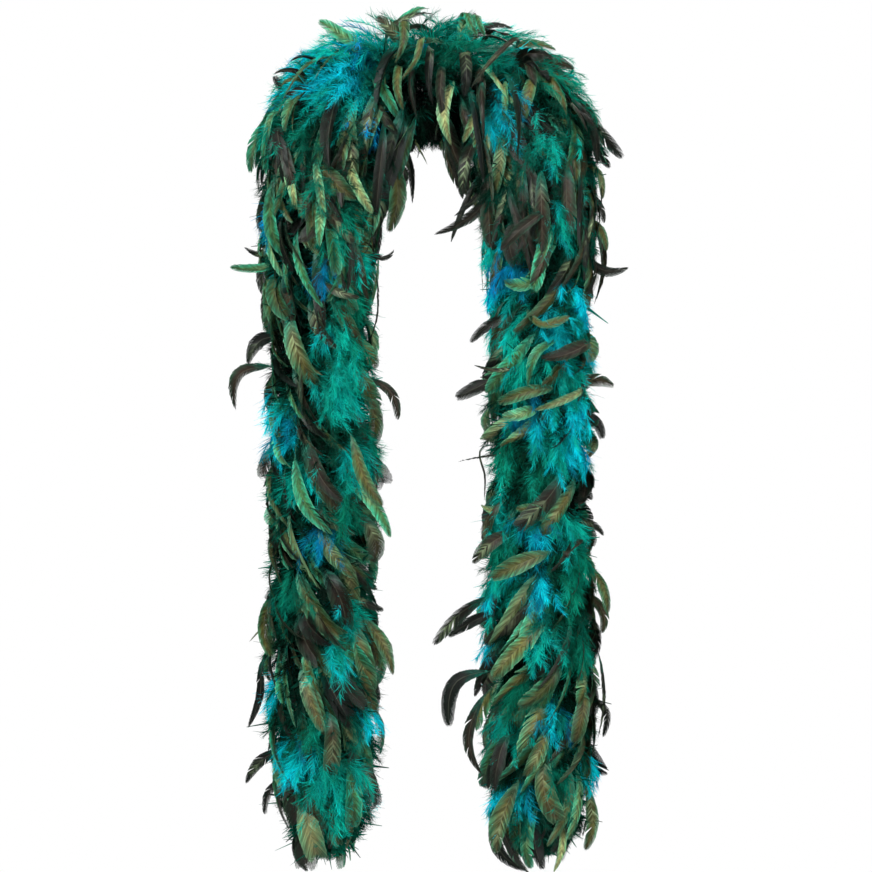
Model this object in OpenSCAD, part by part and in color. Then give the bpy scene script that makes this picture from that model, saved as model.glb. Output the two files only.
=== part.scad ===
// Feather boa, hanging as it is worn: an arch over the back of the neck and
// two legs that hang down in front.  A cord runs through the whole boa.  Tape
// with the feathers' quills sewn to it is wound round the cord.  The down
// stands out in whorls, and long curved blades hang over it.
// The frame: +Z up, +X to the right leg, the wearer's front faces -Y.
// The origin is where the arch's soft inside rests on the nape.

/* [Hanging shape] */
// Distance between the centrelines of the two legs
leg_spacing = 236; // [230:2:250]
// Angle by which the arch leans back from upright
crown_tilt = 30; // [25:1:35]
// Radius of the bend from the arch into a leg
elbow_r = 90; // [85:1:100]
// Length of one link of a leg
link_len = 130; // [128:1:140]
// Height from the centre of the arch to the nape
nape_h = 52; // [46:1:58]

/* [Cord and tape] */
// Diameter of the core cord
core_d = 5; // [4:0.5:5]
// Width of the stringing tape
tape_w = 9; // [6:1:12]
// Thickness of the stringing tape with the quills in it
tape_t = 1.2; // [0.8:0.1:1.4]
// Distance along the cord from one turn of tape to the next
tape_pitch = 45; // [35:5:60]
// Diameter of the sewing thread
thread_d = 0.8; // [0.5:0.1:0.8]
// Stitches in one link
stitches_per_link = 6; // [4:1:8]

/* [Down] */
// Radius of a whorl of down
whorl_r = 50; // [44:1:52]
// Thickness of a whorl at its middle
whorl_t = 9; // [6:1:10]
// Drop of a whorl from its middle to its rim
whorl_droop = 13; // [12:0.5:14]
// Whorls in one link
whorls_per_link = 5; // [4:1:5]

/* [Blades] */
// Reach of a blade's arc from the cord to where the blade hangs straight down
blade_arc_r = 81; // [78:1:82]
// Greatest width of a blade
blade_w = 19; // [14:1:22]
// Thickness of a blade at its quill
blade_t = 2; // [1.6:0.2:2.4]
// Blades in one tier
blades_per_tier = 5; // [4:1:6]

/* [Hidden] */
leg_links = 5;

// Gaps that leave each hinge room to turn, measured from the hinge's plane
core_setback = 1.2;
tape_setback = 3;
first_whorl = 8;
last_whorl = 30;

// The tape lies on the cord and the thread lies on the tape
running_gap = 0.15;
tape_in_r = core_d / 2 + running_gap;
tape_out_r = tape_in_r + tape_t;
thread_ring_r = tape_out_r + thread_d / 2 + running_gap;
hub_r = thread_ring_r + thread_d / 2 + 0.5;
turn_steps = 14;
core_rings = 64;
core_sides = 10;

// The ends of the cord
tape_end_gap = 18;
whipping_len = 9;
whipping_end_gap = 6;
knot_rope_r = 2.2;
knot_r = 5.6;

// The centreline: half a circle over the neck, an elbow, and a straight leg
arch_r = leg_spacing / 2;
arch_y = -nape_h * sin(crown_tilt);
arch_z = -nape_h * cos(crown_tilt);
elbow_y = arch_y + elbow_r * cos(crown_tilt);
elbow_z = arch_z - elbow_r * sin(crown_tilt);
leg_y = elbow_y - elbow_r;
arch_len = arch_r * PI / 2;
elbow_len = elbow_r * crown_tilt * PI / 180;
crown_len = arch_len + elbow_len;

// The whorls of a link, and of half the crown
whorl_pitch = (link_len - last_whorl - first_whorl) / (whorls_per_link - 1);
crown_end_gap = 50;
crown_whorls = floor((crown_len - crown_end_gap) / whorl_pitch) + 1;
crown_pitch = (crown_len - crown_end_gap) / crown_whorls;
first_droop = 7;
small_whorl_gap = 28;
small_whorl_r = 36;
small_whorl_droop = 8;
small_whorl_t = 6;

// Blades: how far they turn down, and how the tiers are turned about the cord
blade_hang = 84;
end_drop = 62;
tier_turn = 24;
link_turn = 10;

sides = [["left", -1], ["right", 1]];
piece_kinds = ["core", "tape", "stitches", "down", "plumes"];

// ---------------------------------------------------------------- frames

// Path distances start at the top of the arch.  The frame at a distance has
// its -Z axis along the path towards the leg's end, its +X axis outwards and
// its +Y axis to the back.  The left half is the mirror of the right half.
function link_start(link) = crown_len + (link - 1) * link_len;

module on_arch(angle) {
    translate([0, arch_y, arch_z]) rotate([-crown_tilt, 0, 0])
        rotate([0, angle - 90, 0]) translate([arch_r, 0, 0]) children();
}

module on_elbow(angle) {
    translate([arch_r, elbow_y, elbow_z]) rotate([angle - crown_tilt, 0, 0])
        translate([0, -elbow_r, 0]) children();
}

module on_path(d) {
    if (d < arch_len)
        on_arch(d / arch_r * 180 / PI) children();
    else if (d < crown_len)
        on_elbow((d - arch_len) / elbow_r * 180 / PI) children();
    else
        translate([arch_r, leg_y, elbow_z - (d - crown_len)]) children();
}

module on_side(side) {
    if (side < 0) mirror([1, 0, 0]) children();
    else children();
}

// The same frame as numbers: [point, outward axis, backward axis]
function tilted(v) = [
    v[0],
    v[1] * cos(crown_tilt) + v[2] * sin(crown_tilt),
    v[2] * cos(crown_tilt) - v[1] * sin(crown_tilt)
];
function arch_frame(a) = [
    [0, arch_y, arch_z] + arch_r * tilted([sin(a), 0, cos(a)]),
    tilted([sin(a), 0, cos(a)]),
    tilted([0, 1, 0])
];
function elbow_frame(lean) = [
    [arch_r, elbow_y - elbow_r * cos(lean), elbow_z + elbow_r * sin(lean)],
    [1, 0, 0],
    [0, cos(lean), -sin(lean)]
];
function leg_frame(drop) = [[arch_r, leg_y, elbow_z - drop], [1, 0, 0], [0, 1, 0]];
function right_frame(d) =
    d < arch_len ? arch_frame(d / arch_r * 180 / PI)
    : d < crown_len ? elbow_frame(crown_tilt - (d - arch_len) / elbow_r * 180 / PI)
    : leg_frame(d - crown_len);
function mirrored(v) = [-v[0], v[1], v[2]];
function path_frame(d) =
    d >= 0 ? right_frame(d) : [for (v = right_frame(-d)) mirrored(v)];
function off_path(d, r, turn) =
    let (f = path_frame(d)) f[0] + r * (cos(turn) * f[1] + sin(turn) * f[2]);

// ---------------------------------------------------------- swept rings

// Side faces between rings of points, as triangles
function ring_sides(sides, rings) = [
    for (i = [0 : rings - 2], j = [0 : sides - 1])
        let (a = sides * i + j, b = sides * i + (j + 1) % sides)
        each [[a, b, b + sides], [a, b + sides, a + sides]]
];

// ---------------------------------------------------------- cord and tape

// A straight length of the cord
module core_link(side, link) {
    bottom_gap = link == leg_links ? 0 : core_setback;
    color("black")
        on_side(side) on_path(link_start(link))
            translate([0, 0, bottom_gap - link_len])
                cylinder(h = link_len - core_setback - bottom_gap,
                    d = core_d, $fn = 32);
}

// The cord over the neck and round both elbows, swept along the centreline
module core_crown() {
    end = crown_len - core_setback;
    points = [
        for (i = [0 : core_rings], j = [0 : core_sides - 1])
            off_path(end * (2 * i / core_rings - 1), core_d / 2, 360 * j / core_sides)
    ];
    last = core_sides * core_rings;
    color("black")
        polyhedron(
            points,
            concat(
                [[for (j = [core_sides - 1 : -1 : 0]) j]],
                ring_sides(core_sides, core_rings + 1),
                [[for (j = [0 : core_sides - 1]) last + j]]
            )
        );
}

// The tape from one path distance to another, wound round the cord
module tape(from, to) {
    steps = round((to - from - tape_w) / tape_pitch * turn_steps);
    points = [
        for (i = [0 : steps])
            let (d = from + tape_w / 2 + (to - from - tape_w) * i / steps,
                turn = 360 * d / tape_pitch)
            each [
                off_path(d - tape_w / 2, tape_in_r, turn),
                off_path(d - tape_w / 2, tape_out_r, turn),
                off_path(d + tape_w / 2, tape_out_r, turn),
                off_path(d + tape_w / 2, tape_in_r, turn)
            ]
    ];
    last = 4 * steps;
    color("darkslategray")
        polyhedron(
            points,
            concat(
                [[3, 2, 1], [3, 1, 0]],
                ring_sides(4, steps + 1),
                [[last, last + 1, last + 2], [last, last + 2, last + 3]]
            )
        );
}

module tape_link(side, link) {
    end_gap = link == leg_links ? tape_end_gap : tape_setback;
    on_side(side)
        tape(link_start(link) + tape_setback, link_start(link + 1) - end_gap);
}

module tape_crown() {
    tape(tape_setback - crown_len, crown_len - tape_setback);
}

// Loops of sewing thread round the tape
module stitch() {
    rotate_extrude($fn = 48)
        translate([thread_ring_r, 0]) circle(d = thread_d, $fn = 16);
}

module stitches(side, from, count, pitch) {
    color("teal")
        for (i = [0 : count - 1])
            on_side(side) on_path(from + i * pitch) stitch();
}

module stitches_link(side, link) {
    run = link_len - tape_setback - (link == leg_links ? tape_end_gap : tape_setback);
    pitch = run / stitches_per_link;
    stitches(side, link_start(link) + tape_setback + pitch / 2,
        stitches_per_link, pitch);
}

module stitches_crown() {
    pitch = link_len / stitches_per_link;
    count = floor((crown_len - tape_setback) / pitch);
    for (side = [-1, 1]) stitches(side, pitch / 2, count, pitch);
}

// ------------------------------------------------------------------ down

// A bell of down: a lens bounded by two spheres, with a hole for the cord
module whorl(r, droop, t = whorl_t) {
    outer_h = droop + t / 2;
    inner_h = droop - t / 2;
    outer_r = (r * r + outer_h * outer_h) / (2 * outer_h);
    inner_r = (r * r + inner_h * inner_h) / (2 * inner_h);
    difference() {
        translate([0, 0, t / 2 - outer_r]) sphere(r = outer_r, $fn = 96);
        translate([0, 0, -t / 2 - inner_r]) sphere(r = inner_r, $fn = 96);
        translate([0, 0, -2 * outer_h]) cylinder(h = 4 * outer_h, r = hub_r, $fn = 32);
    }
}

// The whorl at the very top of the arch hangs to neither side
module top_whorl() {
    steps = 8;
    rim = [for (i = [0 : steps])
        let (r = hub_r + (whorl_r - hub_r) * i / steps)
        [r, whorl_t / 2 * (1 - pow(r / whorl_r, 2))]];
    rotate_extrude($fn = 48)
        polygon(concat(rim, [for (i = [steps - 1 : -1 : 0]) [rim[i][0], -rim[i][1]]]));
}

module down_link(side, link) {
    extra = link == leg_links ? 1 : 0;
    color("mediumturquoise")
        on_side(side)
            for (i = [0 : whorls_per_link - 1 + extra])
                on_path(link_start(link) + first_whorl + i * whorl_pitch)
                    whorl(whorl_r, whorl_droop);
}

// The smaller whorl at each end of the crown leaves room for the leg to swing
module down_crown() {
    color("darkturquoise") {
        on_arch(0) top_whorl();
        for (side = [-1, 1]) on_side(side) {
            for (i = [1 : crown_whorls])
                on_path(i * crown_pitch)
                    whorl(whorl_r, i == 1 ? first_droop : whorl_droop);
            on_path(crown_len - small_whorl_gap)
                whorl(small_whorl_r, small_whorl_droop, small_whorl_t);
        }
    }
}

// ---------------------------------------------------------------- blades

// Half the width of a blade along its length: a quill, then a leaf
function leaf(u) =
    u < 0.4 ? 0.9 : max(0.9, blade_w / 2 * sin(180 * pow((u - 0.4) / 0.6, 0.8)));

// A blade leaves the cord level and curves down in an arc of hang degrees.
// sweep turns its tip sideways, as a sickle feather's tip turns.
function blade_ring(u, hang, sweep) =
    let (fall = hang * u, turn = sweep * u * u,
        side = [-sin(turn), cos(turn), 0],
        up = [sin(fall) * cos(turn), sin(fall) * sin(turn), cos(fall)],
        reach = hub_r + blade_arc_r * sin(fall),
        centre = [reach * cos(turn), reach * sin(turn), -blade_arc_r * (1 - cos(fall))],
        half_t = blade_t / 2 * (1.1 - u))
    [
        centre + leaf(u) * side,
        centre + half_t * up,
        centre - leaf(u) * side,
        centre - half_t * up
    ];

module blade(hang, sweep) {
    stations = [0, 0.38, 0.52, 0.66, 0.8, 0.92, 1];
    last = 4 * (len(stations) - 1);
    polyhedron(
        [for (u = stations) each blade_ring(u, hang, sweep)],
        concat(
            [[2, 1, 0], [3, 2, 0]],
            ring_sides(4, len(stations)),
            [[last, last + 1, last + 2], [last, last + 2, last + 3]]
        )
    );
}

// Blades between two whorls, evenly turned about the cord
module tier(hang, first_turn, last_turn, blades) {
    for (i = [0 : blades - 1])
        rotate([0, 0, first_turn + i * (last_turn - first_turn) / (blades - 1)])
            blade(hang, i % 2 == 0 ? 12 : -10);
}

// The hang that lets a blade reach down by a given drop
function hang_for(drop) = acos(1 - min(drop, blade_arc_r) / blade_arc_r);

module plumes_link(side, link) {
    last_link = link == leg_links;
    tiers = last_link ? whorls_per_link : whorls_per_link - 2;
    step = 360 / blades_per_tier;
    color("darkolivegreen")
        on_side(side)
            for (i = [0 : tiers - 1]) {
                start = first_whorl + (i + 0.5) * whorl_pitch;
                room = last_link ? end_drop : link_len - last_whorl - start + 3;
                turn = tier_turn * i + link_turn * link;
                on_path(link_start(link) + start)
                    tier(min(blade_hang, hang_for(room)), turn, turn + 360 - step,
                        blades_per_tier);
            }
}

// Over the neck the blades keep to the outer half, clear of the neck
module plumes_crown() {
    color("darkolivegreen")
        for (side = [-1, 1], i = [0 : crown_whorls - 5]) {
            start = (i + 0.5) * crown_pitch;
            reach = i % 2 == 0 ? 105 : 70;
            on_side(side) on_path(start)
                tier(min(blade_hang, hang_for(crown_len - crown_end_gap - start)),
                    -reach, reach, i % 2 == 0 ? 4 : 3);
        }
}

// -------------------------------------------------------------- the ends

// Thread whipped round the cord below the end of the tape
module whipping(side) {
    turns = round(whipping_len / thread_d);
    color("teal")
        on_side(side)
            on_path(link_start(leg_links + 1) - whipping_end_gap)
                rotate_extrude($fn = 48)
                    difference() {
                        union() {
                            translate([core_d / 2 + running_gap, 0])
                                square([thread_d / 2, turns * thread_d]);
                            for (i = [0 : turns - 1])
                                translate([
                                    core_d / 2 + running_gap + thread_d / 2,
                                    (i + 0.5) * thread_d
                                ]) circle(d = thread_d, $fn = 16);
                        }
                        square([core_d / 2 + running_gap, 2 * whipping_len]);
                    }
}

// The knot in the end of the cord: three turns drawn tight into a ball
module knot(side) {
    color("black")
        on_side(side)
            on_path(link_start(leg_links + 1) + knot_r)
                rotate_extrude($fn = 48)
                    for (level = [-1 : 1])
                        translate([knot_r - knot_rope_r - abs(level) * knot_rope_r / 2,
                            level * knot_rope_r])
                            circle(r = knot_rope_r, $fn = 24);
}

// --------------------------------------------------------------- assembly

core_crown();
tape_crown();
stitches_crown();
down_crown();
plumes_crown();

for (side = sides, link = [1 : leg_links]) {
    tail = str("_", side[0], "_", link);
    core_link(side[1], link);
    tape_link(side[1], link);
    stitches_link(side[1], link);
    down_link(side[1], link);
    plumes_link(side[1], link);
}

for (side = sides) {
    whipping(side[1]);
    knot(side[1]);
}
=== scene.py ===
"""Looks of the feather boa: every feather is a mesh of barbs on a shaft, rooted on the cord's path.

Soft down stands out from the cord, and firm cock feathers (blades) lie over it.  Feathers are gathered
into pieces by the stretch of cord they grow on; a piece on one body rides on it, and one that crosses a
hinge is left fixed in place.
"""
import math

import bpy
import numpy as np
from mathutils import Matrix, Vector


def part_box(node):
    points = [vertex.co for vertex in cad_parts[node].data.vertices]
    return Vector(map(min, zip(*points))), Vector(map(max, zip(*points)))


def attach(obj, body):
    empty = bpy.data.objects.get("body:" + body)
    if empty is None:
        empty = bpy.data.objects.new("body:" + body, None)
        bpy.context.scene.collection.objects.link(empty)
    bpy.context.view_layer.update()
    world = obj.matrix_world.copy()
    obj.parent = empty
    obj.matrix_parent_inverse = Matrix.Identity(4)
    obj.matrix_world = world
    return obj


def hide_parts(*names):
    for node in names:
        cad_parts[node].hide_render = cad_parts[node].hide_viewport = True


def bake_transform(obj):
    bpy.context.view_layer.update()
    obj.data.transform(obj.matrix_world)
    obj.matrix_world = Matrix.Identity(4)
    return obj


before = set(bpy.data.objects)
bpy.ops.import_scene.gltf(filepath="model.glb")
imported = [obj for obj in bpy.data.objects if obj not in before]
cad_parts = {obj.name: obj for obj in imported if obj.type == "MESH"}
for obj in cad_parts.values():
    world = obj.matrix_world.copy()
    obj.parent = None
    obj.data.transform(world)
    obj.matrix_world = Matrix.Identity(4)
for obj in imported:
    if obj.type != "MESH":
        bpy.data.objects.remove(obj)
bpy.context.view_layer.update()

# ------------------------------------------------------------------ the cord's path, from the frame

MM = 0.001
PER_METRE = 1000         # tables in millimetres are divided by this
CROWN_TILT = math.radians(30)
ELBOW_R = 90 * MM
SIDES = {"left": -1, "right": 1}
LEG_LINKS = 5


def middle(node):
    """The middle of a CAD node's box."""
    low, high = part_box(node)
    return (np.array(low) + np.array(high)) / 2


first, second = middle("core_right_1"), middle("core_right_2")
LEG_X, LEG_Y = first[0], first[1]
LINK = first[2] - second[2]
HINGE_Z = first[2] + LINK / 2
ARCH_R = LEG_X
ELBOW = np.array([LEG_Y + ELBOW_R, HINGE_Z])
ARCH = ELBOW + ELBOW_R * np.array([-math.cos(CROWN_TILT), math.sin(CROWN_TILT)])
ARCH_LEN = ARCH_R * math.pi / 2
CROWN_LEN = ARCH_LEN + ELBOW_R * CROWN_TILT
CORD_LEN = CROWN_LEN + LEG_LINKS * LINK
DOWN = np.array([0.0, 0.0, -1.0])


def unit(v):
    """Vectors of length one."""
    return v / np.maximum(np.linalg.norm(v, axis=-1, keepdims=True), 1e-12)


def smooth(x):
    """0 below 0, 1 above 1, and a smooth step between."""
    x = np.clip(x, 0, 1)
    return x * x * (3 - 2 * x)


def path(d):
    """The cord at signed distances from its top: points, tangents to its end, outward and back axes."""
    side = np.where(d < 0, -1.0, 1.0)
    a = np.minimum(np.abs(d), ARCH_LEN) / ARCH_R
    e = np.clip(np.abs(d) - ARCH_LEN, 0, CROWN_LEN - ARCH_LEN) / ELBOW_R
    drop = np.maximum(np.abs(d) - CROWN_LEN, 0)
    lean = CROWN_TILT - e
    zero = np.zeros_like(a)
    tilt_y, tilt_z = math.sin(CROWN_TILT), math.cos(CROWN_TILT)
    arch = np.stack([ARCH_R * np.sin(a), ARCH[0] + ARCH_R * np.cos(a) * tilt_y,
                     ARCH[1] + ARCH_R * np.cos(a) * tilt_z], -1)
    elbow = np.stack([zero + ARCH_R, ELBOW[0] - ELBOW_R * np.cos(lean),
                      ELBOW[1] + ELBOW_R * np.sin(lean)], -1)
    point = np.where((np.abs(d) > ARCH_LEN)[..., None], elbow, arch)
    point[..., 2] -= drop
    tangent = np.stack([np.cos(a), -np.sin(a) * np.sin(lean), -np.sin(a) * np.cos(lean)], -1)
    outward = np.stack([np.sin(a), np.cos(a) * np.sin(lean), np.cos(a) * np.cos(lean)], -1)
    back = np.stack([zero, np.cos(lean), -np.sin(lean)], -1)
    for v in (point, tangent, outward):
        v[..., 0] *= side
    return point, tangent, outward, back


def radial_way(d, turn):
    """The way out from the cord at each turn round it, and the way round."""
    outward, back = path(d)[2:]
    cos, sin = np.cos(turn)[..., None], np.sin(turn)[..., None]
    return cos * outward + sin * back, cos * back - sin * outward


# ------------------------------------------------------------------ the boa's outline and colours

# How far the feathers reach from a leg's axis: (height, outer side, inner side), in metres.
REACH = {
    "left": [(-0.02, 0.076, 0.084), (-0.11, 0.066, 0.058), (-0.19, 0.064, 0.054), (-0.26, 0.062, 0.060),
             (-0.34, 0.068, 0.064), (-0.40, 0.066, 0.066), (-0.46, 0.062, 0.054), (-0.53, 0.062, 0.056),
             (-0.60, 0.070, 0.064), (-0.67, 0.062, 0.068), (-0.72, 0.046, 0.066), (-0.76, 0.034, 0.046),
             (-0.80, 0.020, 0.012)],
    "right": [(-0.02, 0.074, 0.092), (-0.07, 0.066, 0.078), (-0.12, 0.064, 0.062), (-0.19, 0.054, 0.058),
              (-0.26, 0.062, 0.062), (-0.33, 0.064, 0.064), (-0.39, 0.050, 0.060), (-0.45, 0.058, 0.070),
              (-0.53, 0.066, 0.072), (-0.60, 0.062, 0.072), (-0.66, 0.070, 0.074), (-0.71, 0.064, 0.062),
              (-0.76, 0.044, 0.050), (-0.80, 0.020, 0.030)],
}
DEPTH_REACH = 0.066
# How far they reach from the arch: (angle from its top in degrees, outside, inside).
CROWN_REACH = [(0, 0.104, 0.074), (22, 0.108, 0.074), (45, 0.102, 0.076), (65, 0.084, 0.078),
               (90, 0.074, 0.082)]
CROWN_DEPTH = 0.084
CROWN_ENDS = (-0.035, 0.015)     # heights between which the crown's outline gives way to the legs'
FLOOR_OF_TIPS = {"down": -0.758, "ends": -0.772, "blades": -0.789}

# How far the blades are swept round each leg on their way down: (height, sweep).
SWEEP = {
    "left": [(-0.02, -0.15), (-0.10, -0.40), (-0.20, -0.70), (-0.30, -0.80), (-0.44, -0.85), (-0.52, -0.60),
             (-0.62, -0.20), (-0.74, 0.05)],
    "right": [(-0.02, 0.0), (-0.10, -0.45), (-0.18, -1.0), (-0.38, -1.15), (-0.46, -0.80), (-0.58, -0.65),
              (-0.68, -0.25), (-0.74, 0.05)],
}

# How thickly the blades lie over the down, out of 1: (height, share).
COVER = {
    "left": [(0.0, 1.0), (-0.15, 0.75), (-0.25, 0.72), (-0.36, 0.85), (-0.50, 1.0), (-0.66, 1.0),
             (-0.74, 0.6), (-0.77, 0.3)],
    "right": [(0.0, 1.0), (-0.12, 0.70), (-0.20, 0.52), (-0.44, 0.55), (-0.52, 0.75), (-0.62, 0.95),
              (-0.70, 0.8), (-0.76, 0.35)],
}

# Dyes of the down, as places on its colour ramp (see DOWN_DYES).
BLACK, PINE, TEAL, TURQUOISE, CYAN, DEEP, BLUE = 0.0, 0.2, 0.42, 0.62, 0.8, 0.9, 1.0

# Tufts of down that show between the blades, seen from the front: (x, z, radius, dye), in millimetres.
TUFTS = [
    (-108, 50, 22, CYAN), (-85, 50, 24, CYAN), (-92, 30, 16, TURQUOISE), (-75, 90, 22, BLUE),
    (-98, 95, 14, TURQUOISE), (-68, 15, 14, BLUE), (-100, 125, 22, TURQUOISE),
    (-70, 128, 24, TURQUOISE), (-80, 110, 18, TURQUOISE), (-45, 110, 12, BLUE), (-140, 80, 16, TEAL),
    (-170, 40, 16, TURQUOISE), (-140, 5, 16, TEAL), (5, 105, 18, TEAL), (20, 125, 16, TURQUOISE),
    (55, 100, 20, TEAL), (80, 85, 16, TURQUOISE), (65, 15, 18, CYAN), (75, 35, 12, CYAN),
    (105, 75, 16, TEAL), (120, -10, 18, TURQUOISE), (100, 45, 14, TEAL), (10, 75, 14, TEAL),
    (140, 40, 14, TEAL), (-125, -55, 16, TEAL), (-95, -105, 20, TEAL), (-75, -130, 14, TURQUOISE),
    (-170, -85, 10, DEEP), (-115, -150, 10, DEEP), (-90, -180, 16, TEAL), (-105, -215, 20, TURQUOISE),
    (-80, -225, 16, TEAL), (-95, -255, 26, TURQUOISE), (-100, -280, 22, TURQUOISE),
    (-175, -295, 18, CYAN), (-160, -320, 14, CYAN), (-135, -365, 18, TURQUOISE),
    (-85, -360, 26, TURQUOISE), (-60, -345, 16, TEAL), (-95, -400, 16, TEAL), (-120, -440, 14, DEEP),
    (-145, -490, 14, TEAL), (-85, -515, 14, TURQUOISE), (-175, -600, 16, CYAN), (-70, -625, 16, CYAN),
    (-105, -560, 14, TURQUOISE), (-125, -640, 12, TEAL), (-145, -675, 18, CYAN),
    (-120, -690, 22, TURQUOISE), (-105, -720, 18, TURQUOISE), (-85, -690, 14, TURQUOISE),
    (140, -95, 20, TURQUOISE), (70, -120, 16, TURQUOISE), (85, -145, 22, DEEP), (65, -170, 18, CYAN),
    (160, -180, 16, CYAN), (135, -215, 18, CYAN), (80, -210, 20, TURQUOISE), (170, -230, 14, CYAN),
    (100, -260, 20, TURQUOISE), (150, -270, 16, TURQUOISE), (160, -295, 14, CYAN),
    (105, -305, 18, DEEP), (130, -325, 22, TURQUOISE), (150, -340, 20, CYAN), (85, -345, 18, TEAL),
    (115, -375, 14, TEAL), (75, -410, 20, TURQUOISE), (110, -425, 14, CYAN), (145, -425, 16, TURQUOISE),
    (80, -440, 16, TEAL), (160, -455, 12, TEAL), (80, -485, 20, TURQUOISE), (110, -495, 20, CYAN),
    (145, -480, 18, TEAL), (60, -490, 14, CYAN), (120, -545, 16, TURQUOISE), (65, -560, 14, CYAN),
    (155, -560, 14, TEAL), (95, -600, 14, TEAL), (80, -640, 18, TURQUOISE), (130, -630, 12, CYAN),
    (175, -680, 16, CYAN), (80, -715, 20, CYAN), (140, -700, 14, TEAL),
]

# Painted shadow: spots between the tufts where the eye sees into the dark, and the down there is painted
# black and darker: (x, z, radius), in millimetres.
PAINTED_SHADOWS = [
    (-145, -105, 18), (-150, -250, 20), (-135, -310, 12), (-30, 10, 30), (10, 20, 26), (-20, 50, 24),
    (50, -30, 20), (45, 60, 14), (125, -285, 14), (150, -385, 18), (60, -380, 12), (-150, -440, 14),
    (-160, -210, 14), (-110, -470, 12), (100, -560, 12), (70, -680, 14), (55, -220, 10),
    (-150, -550, 14),
]


def leg_height(table, d, z, column=1):
    """A value of a leg's table at height z, for feathers rooted at signed distances d."""
    value = np.zeros(np.broadcast(d, z).shape)
    for name, side in SIDES.items():
        rows = np.array(table[name])[::-1]
        value = np.where(d * side >= 0, np.interp(z, rows[:, 0], rows[:, column]), value)
    return value


def bulk(d, points):
    """How near the outline each point of a feather rooted at d is: 1 on the outline, more outside."""
    d = d[:, None]
    side = np.where(d < 0, -1.0, 1.0)
    aside = (points[..., 0] - side * LEG_X) * side
    z = points[..., 2]
    reach = np.where(aside > 0, leg_height(REACH, d, z), leg_height(REACH, d, z, 2))
    leg = np.hypot(aside / reach, (points[..., 1] - LEG_Y) / DEPTH_REACH)
    aft, above = points[..., 1] - ARCH[0], z - ARCH[1]
    up = aft * math.sin(CROWN_TILT) + above * math.cos(CROWN_TILT)
    behind = aft * math.cos(CROWN_TILT) - above * math.sin(CROWN_TILT)
    at, outside, inside = np.array(CROWN_REACH).T
    angle = np.degrees(np.arctan2(np.abs(points[..., 0]), np.maximum(up, 0.001)))
    past = np.hypot(points[..., 0], np.maximum(up, 0)) - ARCH_R
    reach = np.where(past > 0, np.interp(angle, at, outside), np.interp(angle, at, inside))
    crown = np.hypot(past / reach, behind / CROWN_DEPTH)
    on_crown = smooth((z - CROWN_ENDS[0]) / (CROWN_ENDS[1] - CROWN_ENDS[0]))
    return crown * on_crown + leg * (1 - on_crown)


# ------------------------------------------------------------------ feathers

OVERRUN = 1.16       # a shaft's line is carried on past its tip, for the barbs that reach past it
STATIONS = 24        # points on a shaft's line
WOBBLE = 0.10        # how far a shaft strays from its smooth line


def shafts(f):
    """The line of each feather: arrays (feathers, stations, 3) of points, sides and normals."""
    point, tangent = path(f["d"])[:2]
    radial, around = radial_way(f["d"], f["turn"])
    hang = unit(tangent * ((1 - f["gravity"]) * f["way"])[:, None] + DOWN * f["gravity"][:, None])
    start = unit(radial + f["lean"][:, None] * hang)
    lying = unit(hang + f["out"][:, None] * radial + f["sweep"][:, None] * around)
    tip = unit(lying + f["hook"][:, None] * radial + f["curl"][:, None] * around)
    s = np.linspace(0, OVERRUN, STATIONS)[None, :]
    knee = f["knee"][:, None]
    over, end = smooth(s / knee)[..., None], smooth((s - 0.6 * knee) / (1.1 - 0.6 * knee))[..., None]
    ways = (1 - over) * start[:, None] + over * ((1 - end) * lying[:, None] + end * tip[:, None])
    wobble = WOBBLE * np.sin(f["phase"][:, None] + s * f["rate"][:, None])[..., None]
    ways = unit(ways + wobble * around[:, None])
    step = f["length"][:, None, None] * OVERRUN / (STATIONS - 1)
    points = np.cumsum(ways * step, 1) - ways[:, :1] * step
    points += (point + radial * f["root"][:, None])[:, None]
    return framed(points, ways, around, f)


def framed(points, ways, around, f):
    """Sides and normals for lines that run along ways, rolled and twisted as the feathers are."""
    s = np.linspace(0, OVERRUN, STATIONS)[None, :]
    side = unit(around[:, None] - (around[:, None] * ways).sum(-1, keepdims=True) * ways)
    normal = np.cross(ways, side)
    roll = (f["roll"][:, None] + f["twist"][:, None] * s)[..., None]
    return (points, np.cos(roll) * side + np.sin(roll) * normal,
            np.cos(roll) * normal - np.sin(roll) * side)


def trimmed(f, room, floor=FLOOR_OF_TIPS["down"]):
    """The feathers cut shorter where they would stand out past room times the outline, or hang too low."""
    for _ in range(2):
        points = shafts(f)[0][:, : STATIONS - 3]
        over = bulk(f["d"], points).max(1) / room
        root_z, low = points[:, 0, 2], points[:, :, 2].min(1)
        fall = (root_z - low) / np.maximum(root_z - floor, 0.004)
        f["length"] = f["length"] / np.clip(np.maximum(over, fall), 1.0, 3.0)
    return f


def place(line, along, across, lift):
    """Local coordinates (feathers, ...) carried onto the feathers' lines."""
    points, sides, normals = line
    n = len(points)
    shape = along.shape
    where = np.clip(along.reshape(n, -1) / OVERRUN * (STATIONS - 1), 0, STATIONS - 1.001)
    i = where.astype(int)
    w = (where - i)[..., None]

    def at(v):
        low = np.take_along_axis(v, i[..., None], 1)
        high = np.take_along_axis(v, i[..., None] + 1, 1)
        return low * (1 - w) + high * w

    flat = (at(points) + at(sides) * across.reshape(n, -1)[..., None]
            + at(normals) * lift.reshape(n, -1)[..., None])
    return flat.reshape(shape + (3,))


def ribbon_faces(strips, rings):
    """Quads of strips whose vertices run (strip, ring, edge)."""
    strip = np.arange(strips)[:, None] * rings * 2
    ring = np.arange(rings - 1)[None, :] * 2
    a = (strip + ring).ravel()
    return np.stack([a, a + 1, a + 3, a + 2], 1)


def add_object(name, data):
    """A new object in the scene."""
    new = bpy.data.objects.new(name, data)
    bpy.context.scene.collection.objects.link(new)
    return new


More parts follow.
